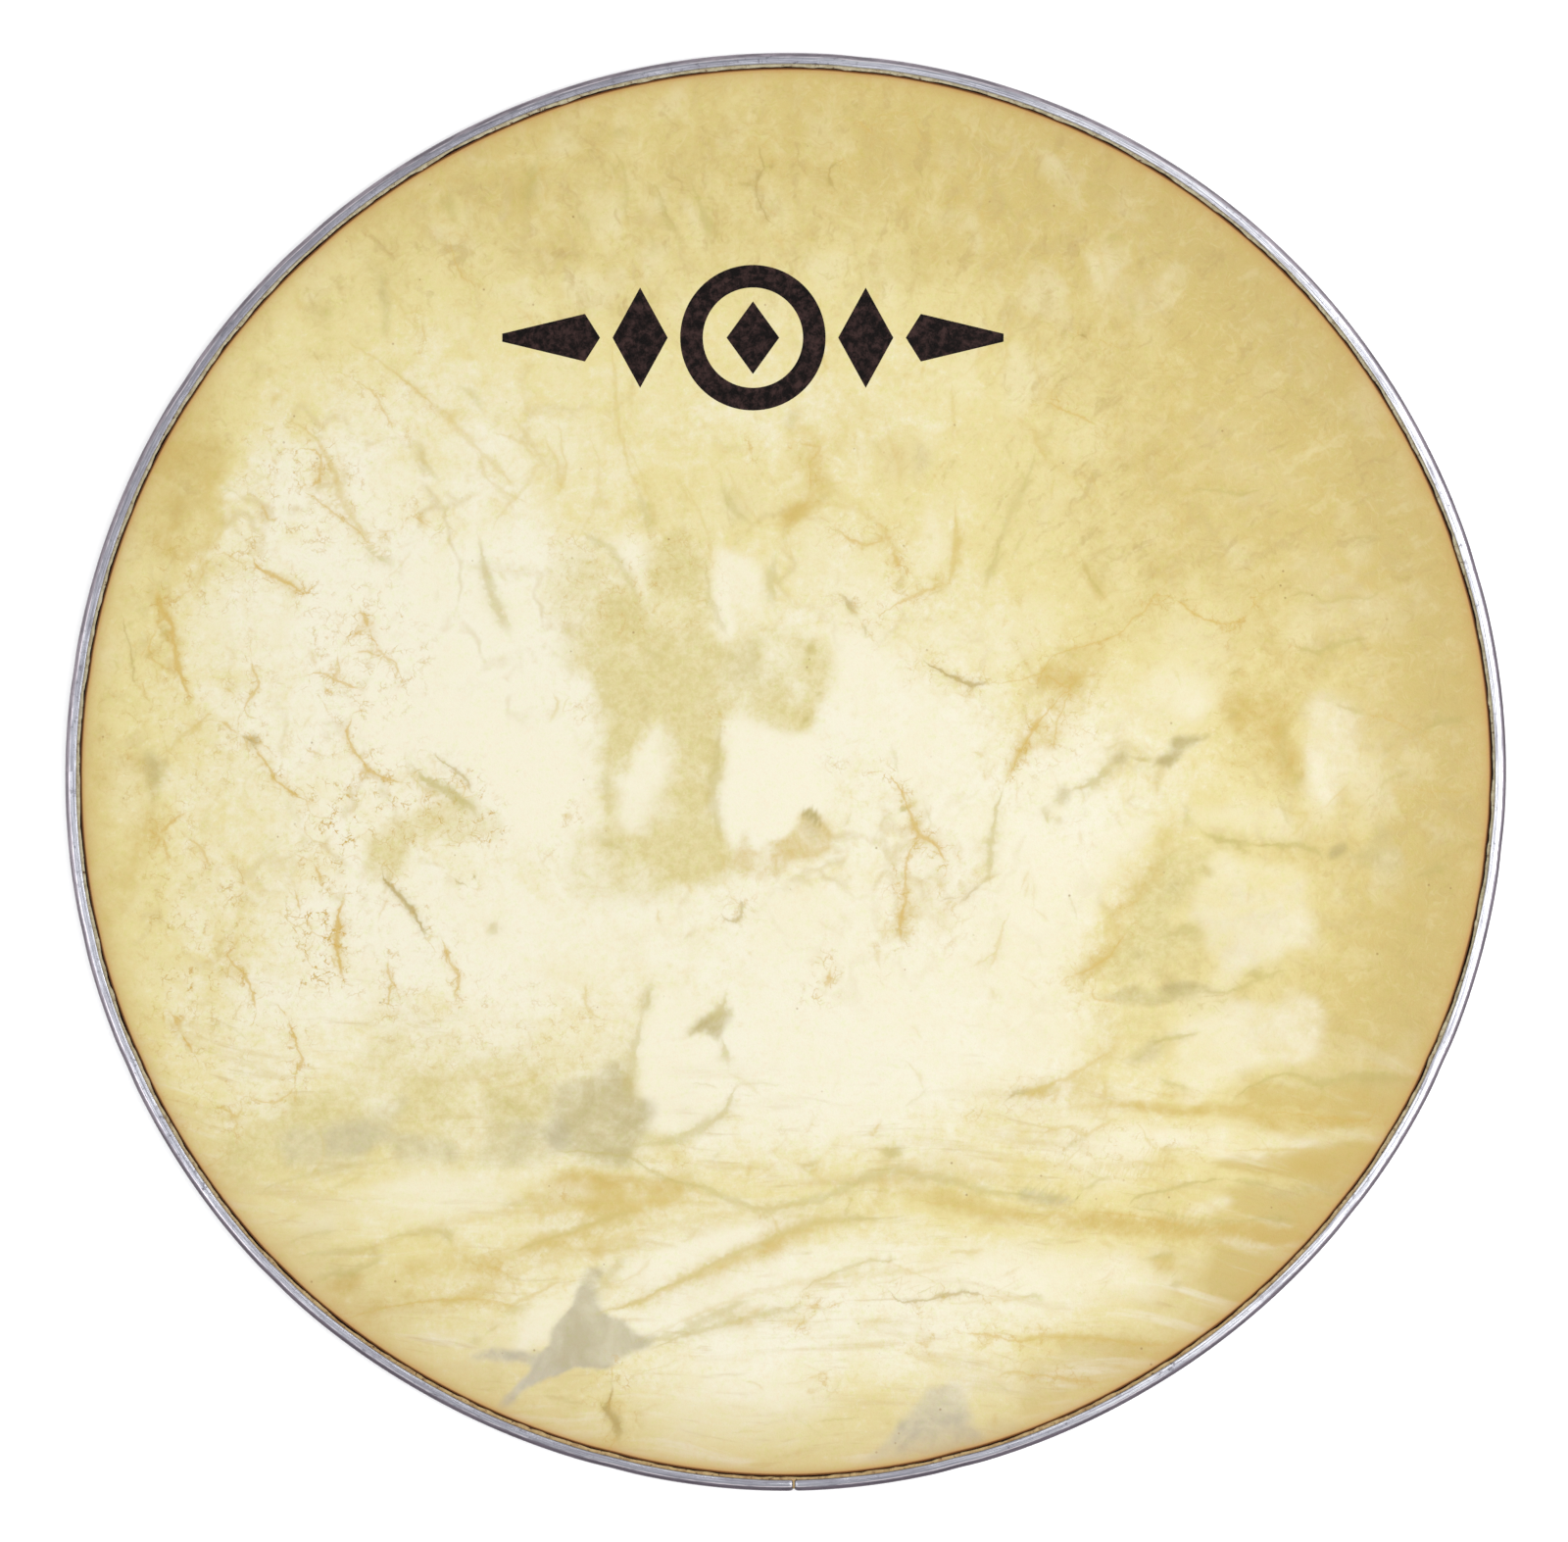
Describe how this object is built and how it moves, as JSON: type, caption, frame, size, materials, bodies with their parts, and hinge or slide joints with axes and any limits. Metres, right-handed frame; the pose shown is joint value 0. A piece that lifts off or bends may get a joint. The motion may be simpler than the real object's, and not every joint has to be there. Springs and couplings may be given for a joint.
{
  "type": "drumhead",
  "caption": "Round natural-skin drumhead: hide lapped over a wire core ring and crimped in a thin metal channel hoop, with a plain printed ornament.",
  "frame": {"origin": "centre of the hoop's flat underside", "axes": "+Z is the head's axis, out through the playing face; +Y points to the printed ornament; the channel's butt joint is on -Y"},
  "size_m": [0.574, 0.574, 0.008],
  "materials": {
    "hoop_metal": "rolled sheet with fine lines along the hoop, dull with bright worn ridges",
    "core_wire": "drawn steel wire, plain",
    "hide": "dried translucent rawhide, cream to ochre with brown veins and grey-green clear patches, satin",
    "ink": "black screen-printing ink over the grain of the hide, semi-gloss"
  },
  "bodies": {
    "root": {"hoop_channel": "hoop_metal", "core_ring": "core_wire", "batter_skin": "hide", "printed_mark": "ink"}
  },
  "joints": []
}
